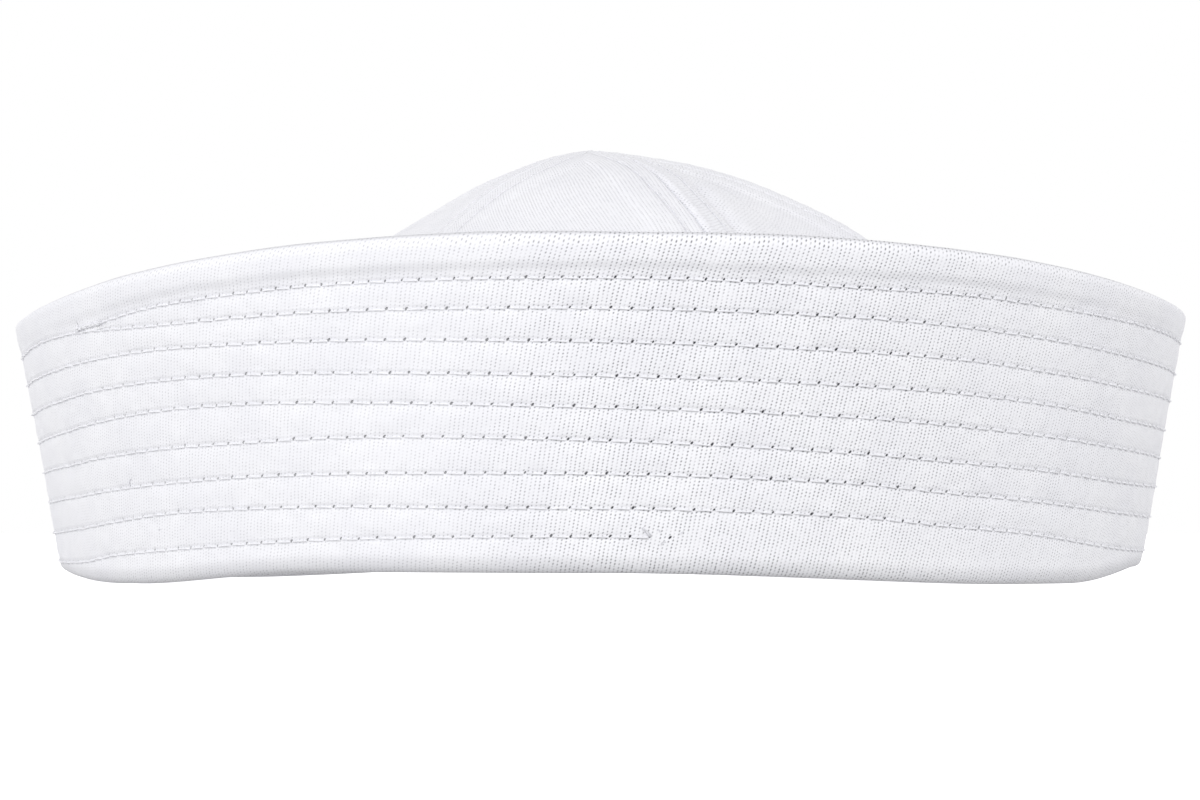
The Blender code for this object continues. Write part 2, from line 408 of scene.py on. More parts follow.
def weave_share(angle):
    """How strongly the weave's relief and painted shade show: least left of the front, where the
    light falls square on the cloth, and less again at the far right.
    """
    angle = wrapped(angle)
    raised = max(passed(angle, WEAVE_SHOWS_RIGHT), passed(angle, WEAVE_SHOWS_LEFT))
    raised *= 1.0 - FAR_RIGHT_WEAVE_LOSS * passed(angle, WEAVE_FADES_RIGHT)
    return LEAST_WEAVE_SHARE + (1.0 - LEAST_WEAVE_SHARE) * raised


def hole_shade_share(angle):
    """How dark the needle holes' painted shade is: darkest at the front, lighter towards the sides.
    """
    closed = passed(abs(wrapped(angle)), HOLE_SHADE_FADE)
    return SIDE_HOLE_SHADE + (1.0 - SIDE_HOLE_SHADE) * (1.0 - closed)


def top_row_height(angle):
    """Height of the uppermost stitches at an angle."""
    return turn_heights(angle)[0 if stitched(1, angle) else 1]


def hem_place(angle, height):
    """Share of the way up from the uppermost stitches to the rim."""
    top = top_row_height(angle)
    return (height - top) / (rim_height(angle) - top)


def hem_pull(angle, height, along):
    """How far the ribs are pulled sideways towards the rim, in ribs."""
    share = min(1.0, max(0.0, hem_place(angle, height)))
    return HEM_PULL * min(share, (BRIM_LOOP - along) / (BRIM_LOOP - RIM_CREST))


def ripple(angle, height, size, seed):
    """Even, repeatable unevenness between -1 and 1, in lumps of a size in mm."""
    point = at_angle(angle, FOLD_RADIUS, height) / (size * MM)
    return noise.noise(point + Vector((seed, 2.3 * seed, -seed)))


def brim_relief(angle, height, brim):
    """How far the brim's cloth stands proud of the plain band, in mm."""
    number, gap = nearest_turn(angle, height)
    gap = abs(gap) if stitched(number, angle) else 3.0
    puff = brim.puff / MM * (1.0 - bell(gap, 1.5))
    pucker = brim.pucker / MM * ripple(angle, height, 2.2, 7) * bell(gap, 1.8)
    share = hem_place(angle, height)
    hem = brim.hem / MM * passed(share, HEM_RISE) if share > 0 else 0.0
    hem *= 1.0 - 0.35 * passed(share, HEM_THINNING)
    hem *= 1.0 - 0.7 * passed(abs(wrapped(angle)), HEM_SIDES)
    waves = 0.32 * ripple(angle, height, 34.0, 3) + 0.10 * ripple(angle, height, 11.0, 5)
    return (puff + pucker + waves) * passed(height - fold_lift(angle), FOLD_RELIEF) + hem


def link_object(name, data):
    """Puts a new object with its data into the scene."""
    thing = bpy.data.objects.new(name, data)
    bpy.context.scene.collection.objects.link(thing)
    return thing


def link_mesh(mesh, name, material):
    """Turns a bmesh into an object of one material."""
    data = bpy.data.meshes.new(name)
    mesh.to_mesh(data)
    mesh.free()
    data.materials.append(material)
    return link_object(name, data)


def make_object(mesh, name, material, nodes=()):
    """Turns a bmesh into a smooth, named piece that rides on the cap."""
    thing = link_mesh(mesh, name, material)
    thing.data.shade_smooth()
    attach(thing, "root")
    if nodes:
        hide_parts(*nodes)
    return thing


def grid_place(vertex, columns, rows):
    """Which column and row of a new grid a vertex is in."""
    return round((vertex.co.x + 1) / 2 * columns), round((vertex.co.y + 1) / 2 * rows)


def set_maps(mesh, layers, places):
    """Gives every face corner the map places worked out for its vertex."""
    for face in mesh.faces:
        for loop in face.loops:
            for layer, place in zip(layers, places[loop.vert]):
                loop[layer].uv = place


def band_section(row):
    """A point of the brim's outline, in mm: depth from the outer face, height, how far it faces
    out and up, and the distance along the cloth from the fold."""
    half = BRIM_THICKNESS / 2
    side = BRIM_HEIGHT - 2 * half
    if row <= OUTER_ROWS:
        height = half + side * row / OUTER_ROWS
        return 0.0, height, 1.0, 0.0, height
    row -= OUTER_ROWS
    along = half + side
    if row <= RIM_ROWS:
        turn = math.pi * row / RIM_ROWS
        depth, rise = half - half * math.cos(turn), half * math.sin(turn)
        return depth, half + side + rise, math.cos(turn), math.sin(turn), along + half * turn
    row -= RIM_ROWS
    along += math.pi * half
    if row <= INNER_ROWS:
        drop = side * row / INNER_ROWS
        return BRIM_THICKNESS, half + side - drop, -1.0, 0.0, along + drop
    row -= INNER_ROWS
    turn = math.pi * row / FOLD_ROWS
    depth, rise = half + half * math.cos(turn), half - half * math.sin(turn)
    return depth, rise, -math.cos(turn), -math.sin(turn), along + side + half * turn


def brim_point(angle, row, brim):
    """A point of the brim's cloth in metres, its height and its distance along the cloth."""
    depth, height, outward, upward, along = band_section(row)
    low = fold_lift(angle)
    height = low + height / BRIM_HEIGHT * (rim_height(angle) - low)
    relief = brim_relief(angle, height, brim)
    radius = band_radius(height) - depth + outward * relief
    rise = (upward - outward * math.sin(BRIM_FLARE)) * relief
    if upward < 0:
        rise = 0.0
    return at_angle(angle, radius, height + rise), height, along


def make_brim(brim, material):
    """A grid wrapped into the band: round the cap one way, and round the two layers the other."""
    rows = OUTER_ROWS + RIM_ROWS + INNER_ROWS + FOLD_ROWS
    mesh = bmesh.new()
    layers = [mesh.loops.layers.uv.new(name) for name in ("cloth", "row")]
    bmesh.ops.create_grid(mesh, x_segments=BRIM_STEPS, y_segments=rows, size=1.0)
    near_row = mesh.verts.layers.float.new("near_row")
    weave = mesh.verts.layers.float.new("weave")
    open_hole = mesh.verts.layers.float.new("open_hole")
    places = {}
    for vertex in mesh.verts:
        step, row = grid_place(vertex, BRIM_STEPS, rows)
        turn = step / BRIM_STEPS - 0.5
        vertex.co, height, along = brim_point(360.0 * turn, row, brim)
        stitches, turns, vertex[near_row] = row_place(360.0 * turn, height)
        vertex[weave] = weave_share(360.0 * turn)
        # how dark the needle holes' painted shade is at this angle
        vertex[open_hole] = hole_shade_share(360.0 * turn)
        rib = turn * BRIM_RIBS - hem_pull(360.0 * turn, height, along)
        places[vertex] = ((rib, along), (stitches, turns))
    set_maps(mesh, layers, places)
    bmesh.ops.remove_doubles(mesh, verts=mesh.verts, dist=1e-6)
    bmesh.ops.recalc_face_normals(mesh, faces=mesh.faces)
    return make_object(mesh, "brim_cloth", material, ["brim"])


# A thread on its way: where it is, which way is out of the cloth, and its share of full thickness
ThreadPoint = namedtuple("ThreadPoint", "spot out thickness")


def lay_thread(mesh, points, thickness, sides):
    """A closed tube along a thread's points, from a grid rolled round them."""
    last = len(points) - 1
    grid = bmesh.ops.create_grid(mesh, x_segments=sides, y_segments=last, size=1.0)
    for vertex in grid["verts"]:
        side, i = grid_place(vertex, sides, last)
        ahead = points[min(last, i + 1)].spot - points[max(0, i - 1)].spot
        across = ahead.cross(points[i].out).normalized()
        turn = math.tau * side / sides
        swing = across * math.cos(turn) + points[i].out * math.sin(turn)
        vertex.co = points[i].spot + swing * thickness / 2 * points[i].thickness
    bmesh.ops.remove_doubles(mesh, verts=grid["verts"], dist=1e-7)
    edges = [edge for edge in mesh.edges if edge.is_boundary]
    bmesh.ops.holes_fill(mesh, edges=edges, sides=sides)


def thread_object(rows, thickness, sides, name, material):
    """One piece of several threads."""
    mesh = bmesh.new()
    for points in rows:
        lay_thread(mesh, points, thickness, sides)
    bmesh.ops.recalc_face_normals(mesh, faces=mesh.faces)
    return make_object(mesh, name, material)


def on_brim(brim, angle, height, rise, thickness, inside=False):
    """A point of a thread that lies on the brim's outer face or its inner one."""
    side = -1.0 if inside else 1.0
    radius = band_radius(height) + side * brim_relief(angle, height, brim)
    radius -= BRIM_THICKNESS if inside else 0.0
    out = at_angle(angle, 1.0, -math.tan(BRIM_FLARE)).normalized() * side
    return ThreadPoint(at_angle(angle, radius, height) + out * rise * MM, out, thickness)


def stitch_points(first, last):
    """The points of a row's stitches: each with its shape, how many stitches along the row it
    is, and how far down the straying needle holes bring it."""
    for number in range(first, last):
        sideways, down = stray(number)
        next_sideways, next_down = stray(number + 1)
        for shape in STITCH_SHAPE:
            share = shape.share
            along = number + share + sideways * (1 - share) + next_sideways * share
            yield shape, along, down * (1 - share) + next_down * share


def brim_row(brim, thread, inside):
    """The long row: one thread that dips into the cloth at every needle hole."""
    points = []
    first = math.ceil(stitch_number(TOP_TURN))
    for shape, along, down in stitch_points(first, round(stitch_number(BOTTOM_TURN))):
        place = stitch_place(along)
        turn = round(place)
        angle = 360.0 * (place - turn)
        height = turn_heights(angle)[turn - 1] - thread.slant / MM * shape.share - down
        points.append(on_brim(brim, angle, height, shape.rise, shape.thickness, inside))
    return points


def knot_points(brim):
    """A few stitches sewn back and forth over each other where the long row ends."""
    points = []
    end = 360.0 * (TOP_TURN - 1)
    level = turn_heights(end)[0]
    for step in range(KNOT_PASSES * KNOT_STEPS + 1):
        share = step / KNOT_STEPS % 2
        sweep = share if share <= 1 else 2 - share
        height = level + KNOT_HEIGHT * sweep + 0.25 * math.sin(step * 1.9)
        rise = 0.14 + 0.16 * math.sin(step * 1.57 + 0.4)
        points.append(on_brim(brim, end + KNOT_WIDTH * sweep, height, rise, 1.25))
    return points


def tail_points(brim):
    """The cut end of the thread, lying up to the left of the row's first needle hole."""
    points = []
    start = 360.0 * (BOTTOM_TURN - 9)
    level = turn_heights(start)[8]
    for step in range(TAIL_STEPS + 1):
        share = step / TAIL_STEPS
        height = level - 0.1 + TAIL_HEIGHT * share + 0.1 * math.sin(5.0 * share)
        rise = 0.1 - 0.5 * (1 - smooth_step(share / 0.2))
        angle = start - TAIL_WIDTH * share
        points.append(on_brim(brim, angle, height, rise, 2.0 - 0.8 * share))
    return points


def lint_points(row, brim):
    """A short curled fibre lying on the cloth."""
    points = []
    tilt = math.radians(row.tilt)
    for step in range(LINT_STEPS + 1):
        share = step / LINT_STEPS - 0.5
        bend = 0.3 * row.length * math.sin(math.pi * (share + 0.5))
        sideways = row.length * share * math.cos(tilt) - bend * math.sin(tilt)
        height = row.height + row.length * share * math.sin(tilt) + bend * math.cos(tilt)
        angle = row.angle + math.degrees(sideways / band_radius(height))
        points.append(on_brim(brim, angle, height, 0.06, LINT_WIDTH))
    return points


def dome_section(angle, along):
    """Radius and height of the bare dome's outer face."""
    foot = fold_lift(angle) + FOOT_RISE
    start = band_radius(foot) - BRIM_THICKNESS - CLEARANCE
    reach = start * profile(along, "reach") + FOOT_SEAT * passed(along, FOOT_SEATING)
    return reach, foot + (CROWN_HEIGHT - foot) * profile(along, "height")


@lru_cache(maxsize=None)
def profile(along, column):
    """A column of the crown's profile."""
    return curve_value(CROWN_PROFILE, along, "along", column)


def seam_angle(index):
    """Angle of the seam where a gore starts."""
    turns, place = divmod(index, PANEL_COUNT)
    return FIRST_SEAM + (turns + place / PANEL_COUNT) * 360.0 + PANEL_TABLE[place].drift


def sag_depth(angle, along, across, slack):
    """How far the cloth sinks below the bare dome."""
    depth = slack * (1 - across * across)
    for dent in CROWN_DENTS:
        sideways = wrapped(angle - dent.angle) / dent.spread
        lengthways = (along - dent.along) / dent.reach
        depth += dent.depth * math.exp(-sideways * sideways - lengthways * lengthways)
    return PANEL_SAG * depth * profile(along, "sag")


def gore_span(index, along):
    """Angles of a gore's middle and of half its width, at a share of the way down it."""
    edges = []
    for number in (index, index + 1):
        sway = SEAM_TABLE[number % PANEL_COUNT].sway * bell(along - SWAY_PLACE, SWAY_REACH)
        edges.append(seam_angle(number) + sway)
    return (edges[0] + edges[1]) / 2, (edges[1] - edges[0]) / 2


def seam_row(index, side):
    """A gore's seam at its edge, -1 for the first and 1 for the second, and how far from it the
    gore's stitches run."""
    seam = SEAM_TABLE[(index + (side >= 0)) % PANEL_COUNT]
    return seam, seam.right_row if side < 0 else seam.left_row


def crown_relief(index, side, angle, along, from_seam, crown):
    """How far a gore's cloth stands proud: the seam allowance under it, its stitches, its folds."""
    beyond = from_seam - crown.allowance / MM
    near = 1.0 - passed(beyond, ALLOWANCE_EDGE)
    raised = crown.lift / MM * near
    seam, row = seam_row(index, side)
    line = -0.11 * bell(from_seam - row, 0.6)
    rolled = -0.45 * bell(from_seam, 0.35)
    if side < 0:
        clear = passed(along, SEAM_ROLL_START)
        rolled += seam.roll * clear * bell(from_seam - 1.1, 0.8)
        rolled -= seam.crease * clear * bell(beyond + 0.4, 1.3)
        rolled += 0.6 * seam.crease * clear * (1.0 - near) * bell(beyond - 4.0, 5.0)
    beat = math.sin(math.tau * along * GORE_LENGTH / STITCH_LENGTH)
    pucker = 0.05 * beat * bell(from_seam, 2.5)
    waves = 0.35 * ripple(angle, along * 60.0, 24.0, 11)
    waves += 0.10 * ripple(angle, along * 80.0, 9.0, 13)
    return raised + rolled + line + pucker + waves * passed(along, PEAK_CALM)


def crown_point(index, across, along, below, crown):
    """A point of a gore, across from -1 to 1 between its seams, the direction out of it, and
    its distance from the nearer seam."""
    middle, half = gore_span(index, along)
    angle = middle + across * half
    radius, height = dome_section(angle, along)
    from_seam = (1 - abs(across)) * math.radians(half) * radius
    inner = dome_section(angle, max(0.0, along - 0.002))
    outer = dome_section(angle, min(1.0, along + 0.002))
    length = math.dist(inner, outer)
    out, up = (inner[1] - outer[1]) / length, (outer[0] - inner[0]) / length
    slack = PANEL_TABLE[index].slack
    side = -1 if across < 0 else 1
    relief = crown_relief(index, side, angle, along, from_seam, crown)
    depth = below + sag_depth(angle, along, across, slack)
    depth -= relief if below == 0.0 else 0.3 * relief
    radius -= depth * out
    height -= depth * up
    gap = 0.5 * crown.gap / MM / max(radius, 0.1)
    margin = math.degrees(math.asin(min(0.5, gap)))
    spot = at_angle(middle + across * (half - margin), max(radius, 0.02), height)
    spot.x += CROWN_LEAN * profile(along, "lean") * MM
    return spot, at_angle(angle, out, up).normalized(), from_seam


def make_gore(index, crown, material):
    """One gore: a grid bent to the dome for its face, another for its back, joined at the edge."""
    mesh = bmesh.new()
    layers = [mesh.loops.layers.uv.new(name) for name in ("cloth", "seam")]
    half = math.radians(seam_angle(index + 1) - seam_angle(index)) / 2
    places = {}
    for below in (0.0, CROWN_THICKNESS):
        grid = bmesh.ops.create_grid(
            mesh, x_segments=GORE_COLUMNS, y_segments=GORE_ROWS, size=1.0
        )
        for vertex in grid["verts"]:
            column, row = grid_place(vertex, GORE_COLUMNS, GORE_ROWS)
            across = (2 * column / GORE_COLUMNS - 1) * EDGE_CROWDING
            across = math.sin(across) / math.sin(EDGE_CROWDING)
            along = round(0.002 + 0.998 * (1 - row / GORE_ROWS), 6)
            vertex.co, _, from_seam = crown_point(index, across, along, below, crown)
            width = across * half * dome_section(0.0, along)[0]
            beside = from_seam - seam_row(index, across)[1]
            places[vertex] = (
                (width, (1 - along) * GORE_LENGTH),
                (beside, along * GORE_LENGTH),
            )
    edges = [edge for edge in mesh.edges if edge.is_boundary]
    bmesh.ops.bridge_loops(mesh, edges=edges)
    bmesh.ops.recalc_face_normals(mesh, faces=mesh.faces)
    set_maps(mesh, layers, places)
    name = f"crown_gore_{index + 1}"
    return make_object(mesh, name, material, [f"crown_panel_{index + 1}"])


def crown_row(index, side, crown):
    """The stitches along one edge of a gore, from near the peak down to the fold."""
    points = []
    seam, row = seam_row(index, side)
    for shape, steps, down in stitch_points(0, CROWN_STITCHES):
        along = TOPSTITCH_START + steps * STITCH_LENGTH / GORE_LENGTH
        width = math.radians(gore_span(index, along)[1]) * dome_section(0.0, along)[0]
        across = side * (1 - (row + down) / width)
        spot, out, _ = crown_point(index, across, along, 0.0, crown)
        rise = min(shape.rise, seam.stand)
        points.append(ThreadPoint(spot + out * rise * MM, out, shape.thickness))
    return points


def add(tree, kind, inputs=(), output=0, **settings):
    """Adds a node with its settings, fills or links its inputs, and gives one of its outputs."""
    node = tree.nodes.new("ShaderNode" + kind)
    for name, value in settings.items():
        setattr(node, name, value)
    pairs = inputs.items() if isinstance(inputs, dict) else enumerate(inputs)
    for key, value in pairs:
        if isinstance(value, bpy.types.NodeSocket):
            tree.links.new(value, node.inputs[key])
        else:
            node.inputs[key].default_value = value
    return node.outputs[output]


def work(tree, operation, *values):
    """Adds one step of arithmetic and gives its result."""
    return add(tree, "Math", values, operation=operation)


def ease(tree, value, start, end):
    """From 0 at the start of a stretch to 1 at its end, slowly at both."""
    return add(tree, "MapRange", (value, start, end), interpolation_type="SMOOTHSTEP")


def ease_from(tree, value, line, start, end):
    """The same for how far a value is from a line, whichever side it is on."""
    gap = work(tree, "ABSOLUTE", work(tree, "SUBTRACT", value, line))
    return ease(tree, gap, start, end)


def lumps(tree, spot, size, detail):
    """Soft unevenness from 0 to 1, in lumps of a size in millimetres."""
    return add(tree, "TexNoise", {"Vector": spot, "Scale": 1 / (size * MM), "Detail": detail})


def blend(tree, share, first, second):
    """A colour between two others."""
    return add(tree, "Mix", {0: share, 6: first, 7: second}, output=2, data_type="RGBA")


def slanted_gap(tree, across, up, rising, falling):
    """Distance from the middle of a slanted oval, whose axes rise and fall to the right."""
    rising = work(tree, "MULTIPLY", work(tree, "ADD", across, up), rising)
    falling = work(tree, "MULTIPLY", work(tree, "SUBTRACT", across, up), falling)
    spread = add(tree, "CombineXYZ", (rising, falling))
    return add(tree, "VectorMath", (spread,), output=1, operation="LENGTH")


def start_material(name, roughness):
    """A matt material, its tree and its shader."""
    material = bpy.data.materials.new(name)
    material.use_nodes = True
    shader = material.node_tree.nodes["Principled BSDF"]
    shader.inputs["Roughness"].default_value = roughness
    shader.inputs["IOR"].default_value = 1.5
    shader.inputs["Specular IOR Level"].default_value = 0.2
    return material, material.node_tree, shader


# How often the weave repeats on the cloth map: ribs to a step sideways, ribs that the lean
# crosses in a millimetre up, pinholes in a millimetre up, and how strongly it all shows, or
# None where a mesh has that at each point
WeaveRates = namedtuple("WeaveRates", "ribs lean floats strength")


def map_place(tree, name):
    """Where a point is on one of its mesh's maps: across and up."""
    across = add(tree, "SeparateXYZ", (add(tree, "UVMap", uv_map=name),))
    return across, across.node.outputs[1]


def mesh_value(tree, name):
    """What a mesh says of each of its points."""
    return add(tree, "Attribute", output=2, attribute_name=name)


def twill(tree, cloth, rates):
    """Drill's weave on the cloth map: ribs, and along each rib a pinhole between its floats.
    Gives the ribs' height and the depth of the pinholes, both 0 to 1."""
    spot = add(tree, "TexCoord", output=3)
    drift = work(tree, "SUBTRACT", lumps(tree, spot, 9.09, 2.0), 0.5)
    u, v = map_place(tree, "cloth")
    ribs = work(tree, "MULTIPLY", u, rates.ribs)
    ribs = work(tree, "MULTIPLY_ADD", v, rates.lean, ribs)
    ribs = work(tree, "MULTIPLY_ADD", drift, cloth.drift, ribs)
    number = work(tree, "ROUND", ribs)
    valley = work(tree, "SUBTRACT", ribs, number)
    crest = ease_from(tree, valley, 0.0, 0.0, 0.35)
    order = add(tree, "TexWhiteNoise", {"W": number}, noise_dimensions="1D")
    floats = work(tree, "MULTIPLY", v, rates.floats)
    for uneven, share in ((number, 0.42), (order, 0.45), (drift, 1.2)):
        floats = work(tree, "MULTIPLY_ADD", uneven, share, floats)
    beat = work(tree, "SUBTRACT", work(tree, "FRACT", floats), 0.5)
    beat = work(tree, "MULTIPLY", beat, cloth.float_step / cloth.pinhole)
    valley = work(tree, "MULTIPLY", valley, cloth.rib / cloth.pinhole)
    pinhole = ease(tree, slanted_gap(tree, valley, beat, 0.85, 1.25), 0.8, 0.25)
    patchy = add(tree, "MapRange", (lumps(tree, spot, 1.11, 2.0), 0.36, 0.58, 0.25, 1.0))
    return crest, work(tree, "MULTIPLY", pinhole, patchy)


def from_hole(tree, place, hole, beat, stray):
    """A place measured from a needle hole, which strays as stray() has it."""
    swing = work(tree, "SINE", work(tree, "MULTIPLY", hole, beat))
    return work(tree, "MULTIPLY_ADD", swing, -stray, place)


def stitch_marks(tree, number, below, slant, last):
    """What a row of stitches does to the cloth, from how many stitches along it and how many
    millimetres below it a point is: needle holes that slope up to the right, a groove, and the
    shade under each thread. All are 0 to 1."""
    hole = work(tree, "ROUND", number)
    along = from_hole(tree, work(tree, "SUBTRACT", number, hole), hole, STRAY_BEAT, STITCH_STRAY)
    along = work(tree, "MULTIPLY", along, STITCH_LENGTH)
    down = from_hole(tree, below, hole, WOBBLE_BEAT, STITCH_WOBBLE)
    down = work(tree, "ADD", down, 0.08)
    size = add(tree, "TexWhiteNoise", {"W": hole}, noise_dimensions="1D")
    size = add(tree, "MapRange", (size, 0.0, 1.0, 0.18, 0.33))
    holes = ease(tree, slanted_gap(tree, along, down, 0.95, 0.5), size, 0.12)
    sewn = work(tree, "LESS_THAN", number, last)
    groove = work(tree, "MULTIPLY", ease_from(tree, below, 0.0, 0.8, 0.1), sewn)
    share = work(tree, "FRACT", number)
    under = work(tree, "MULTIPLY_ADD", share, -slant, below)
    under = ease_from(tree, under, 0.2, 0.2, 0.05)
    under = work(tree, "MULTIPLY", under, ease_from(tree, share, 0.6, 0.34, 0.24))
    return holes, groove, work(tree, "MULTIPLY", under, sewn)


def brim_row_marks(tree, slant):
    """The long row's marks on the brim."""
    number, turns = map_place(tree, "row")
    below = work(tree, "SUBTRACT", turns, work(tree, "ROUND", turns))
    below = work(tree, "MULTIPLY", below, TURN_PITCH)
    marks = stitch_marks(tree, number, below, slant, round(stitch_number(BOTTOM_TURN)))
    near = mesh_value(tree, "near_row")
    holes, groove, under = [work(tree, "MULTIPLY", mark, near) for mark in marks]
    # the needle holes' painted shade, weaker towards the sides
    return work(tree, "MULTIPLY", holes, mesh_value(tree, "open_hole")), groove, under


def crown_row_marks(tree):
    """The marks on a gore of the rows beside its seams. They are clearer further down."""
    beside, along = map_place(tree, "seam")
    number = work(tree, "SUBTRACT", along, TOPSTITCH_START * GORE_LENGTH)
    number = work(tree, "DIVIDE", number, STITCH_LENGTH)
    holes, groove, under = stitch_marks(tree, number, beside, 0.0, CROWN_STITCHES)
    clear = add(tree, "MapRange", (number, 2.0, 12.0, 0.0, 0.4))
    return work(tree, "MULTIPLY", holes, clear), groove, work(tree, "MULTIPLY", under, clear)


def brim_edge_shade(tree, shade):
    """Darkens the cloth with painted shade in a thin line along the rim's crest and in a band round
    the fold.
    """
    _, v = map_place(tree, "cloth")
    crest = ease_from(tree, v, RIM_CREST, 1.0, 0.45)
    shade = work(tree, "MULTIPLY_ADD", crest, 0.22, shade)
    fold = work(tree, "MAXIMUM", ease(tree, v, 3.6, 1.0), ease(tree, v, 111.0, 114.5))
    return work(tree, "MULTIPLY_ADD", fold, 0.2, shade)


def cotton_drill(name, cloth, rates, row_marks, edge_shade=None):
    """Bleached cotton drill, woven and matt: steep fine ribs, a pinhole between the floats, and
    a needle hole at every stitch. The darkness between the ribs, in the pinholes and needle holes,
    in the stitch groove and under each stitch is painted shade. Its lint softens the edges of the
    light."""
    material, tree, shader = start_material(name, 0.9)
    shader.inputs["Sheen Weight"].default_value = 0.1
    shader.inputs["Sheen Roughness"].default_value = 0.5
    crest, pinhole = twill(tree, cloth, rates)
    # show: how strongly the weave's relief and its painted shade show
    show = rates.strength or mesh_value(tree, "weave")
    holes, groove, under = row_marks(tree)
    spot = add(tree, "TexCoord", output=3)
    mottle = add(tree, "MapRange", (lumps(tree, spot, 11.11, 3.0), 0.35, 0.65))
    # painted shade: the colour darkens between the ribs, in the pinholes, in the stitch groove,
    # under each stitch, along the brim's edges and in the needle holes
    shade = add(tree, "MapRange", (crest, 0.0, 1.0, cloth.valley_dark, 0.0))
    shade = work(tree, "MULTIPLY_ADD", pinhole, cloth.pinhole_dark, shade)
    shade = work(tree, "MULTIPLY", shade, show)
    shade = work(tree, "MULTIPLY_ADD", groove, 0.03, shade)
    under = work(tree, "MULTIPLY", under, cloth.under_dark)
    shade = work(tree, "MULTIPLY_ADD", under, work(tree, "ADD", show, 0.2), shade)
    if edge_shade:
        shade = edge_shade(tree, shade)
    dark = add(tree, "MapRange", (show, 0.0, 1.0, 0.4, 1.0))
    dark = work(tree, "MULTIPLY", dark, cloth.hole_dark)
    shade = work(tree, "MAXIMUM", shade, work(tree, "MULTIPLY", holes, dark))
    base = blend(tree, mottle, cloth.colour, cloth.shade)
    tree.links.new(blend(tree, shade, base, cloth.hole), shader.inputs["Base Color"])
    relief = work(tree, "SUBTRACT", crest, pinhole)
    relief = work(tree, "MULTIPLY", relief, cloth.rib_relief / MM)
    relief = work(tree, "MULTIPLY", relief, show)
    for form, depth in ((lumps(tree, spot, 0.2222, 2.0), 0.03), (groove, -0.12), (holes, -0.2)):
        relief = work(tree, "MULTIPLY_ADD", form, depth, relief)
    bump = add(tree, "Bump", {"Strength": 1.0, "Distance": MM, "Height": relief})
    tree.links.new(bump, shader.inputs["Normal"])
    return material


def sewing_thread(name, thread):
    """Polyester sewing thread, twisted from two plies: whiter than the cloth, with a slight
    gloss that catches the light along each stitch."""
    material, tree, shader = start_material(name, 0.55)
    plies = lumps(tree, add(tree, "TexCoord", output=3), 0.4, 1.0)
    base = blend(tree, plies, thread.colour, thread.shade)
    tree.links.new(base, shader.inputs["Base Color"])
    bump = add(tree, "Bump", {"Strength": 0.6, "Distance": 0.05 * MM, "Height": plies})
    tree.links.new(bump, shader.inputs["Normal"])
    return material


def tail_shade_and_lint_material(thread):
    """The grey of the thread's cut end, painted shade in place of its soft shadow, which the lint
    shares: loose fibres, matt and rough.
    """
    material, tree, shader = start_material("frayed thread end", 0.95)
    tufts = lumps(tree, add(tree, "TexCoord", output=3), 0.2857, 2.0)
    tufts = add(tree, "MapRange", (tufts, 0.35, 0.65))
    base = blend(tree, tufts, thread.tail_shade_and_lint, thread.shade)
    tree.links.new(base, shader.inputs["Base Color"])
    return material


def length_setting(label, description, size):
    """A length, given in millimetres and kept in metres."""
    return FloatProperty(
        name=label, description=description, default=size * MM, min=0.0, precision=5,
        unit="LENGTH",
    )


def colour_setting(label, description, code):
    """A colour, given as an sRGB hex value."""
    return FloatVectorProperty(
        name=label, description=description, default=linear(code), size=4, subtype="COLOR"
    )


def share_setting(label, description, share):
    """A share from 0 to 1."""
    return FloatProperty(
        name=label, description=description, default=share, min=0.0, max=1.0, subtype="FACTOR"
    )


class ClothSettings(PropertyGroup):
    """The cotton drill that the whole cap is cut from."""

    colour: colour_setting("Cloth", "Colour of the bleached cotton", "#F6F6FA")
    shade: colour_setting("Shaded cloth", "Colour of the cloth's faint darker patches", "#F2F2F7")
    # painted shade: this dark colour stands in for the shade inside the needle holes and in the
    # gaps between yarns
    hole: colour_setting("Holes", "Colour inside needle holes and between yarns", "#2E2E36")
    rib: length_setting("Rib width", "Distance from one rib of the weave to the next", 0.75)
    crown_rib: length_setting("Crown rib width", "Distance between ribs on the crown", 0.65)
    rib_relief: length_setting("Rib relief", "How far the ribs stand up", 0.03)
    pinhole: length_setting("Pinhole", "Width of the dark gaps between yarns", 0.32)
    float_step: length_setting("Float", "Distance between gaps along a rib", 0.52)
    drift: share_setting("Weave drift", "How unevenly the ribs run, in ribs", 0.6)
    valley_dark: share_setting("Rib shadow", "Darkness between two ribs", 0.03)
    pinhole_dark: share_setting("Pinhole shadow", "Darkness of the gaps between yarns", 0.78)
    under_dark: share_setting("Stitch shadow", "Darkness under a stitch's thread", 0.3)
    hole_dark: share_setting("Hole shadow", "Darkness of the needle holes", 1.0)


class BrimSettings(PropertyGroup):
    """The turned-up brim's padding."""

    puff: length_setting("Puff", "How far the cloth swells between two rows of stitches", 0.14)
    pucker: length_setting("Pucker", "Height of the small gathers beside the stitches", 0.3)
    hem: length_setting("Hem", "Extra thickness of the cloth turned in along the rim", 0.68)


class CrownSettings(PropertyGroup):
    """The crown's seams."""

    allowance: length_setting("Seam allowance", "Width of cloth pressed back in a seam", 8.3)
    lift: length_setting("Seam relief", "How far the allowance lifts the cloth", 0.45)
    gap: length_setting("Seam gap", "Width of the dark line along a seam", 0.08)


class ThreadSettings(PropertyGroup):
    """The sewing thread."""

    colour: colour_setting("Thread", "Colour of the sewing thread", "#FCFCFF")
    shade: colour_setting("Thread between plies", "Colour in the thread's twist", "#E2E2E8")
    # painted shade: the tail's grey stands in for its soft shadow; the lint has the same grey
    tail_shade_and_lint: colour_setting("Frayed thread", "Colour of the thread's frayed end", "#C2C2C6")
    width: length_setting("Thread width", "Width of a stitch's thread", 0.28)
    slant: length_setting("Stitch slant", "How far a stitch drops from hole to hole", 0.12)


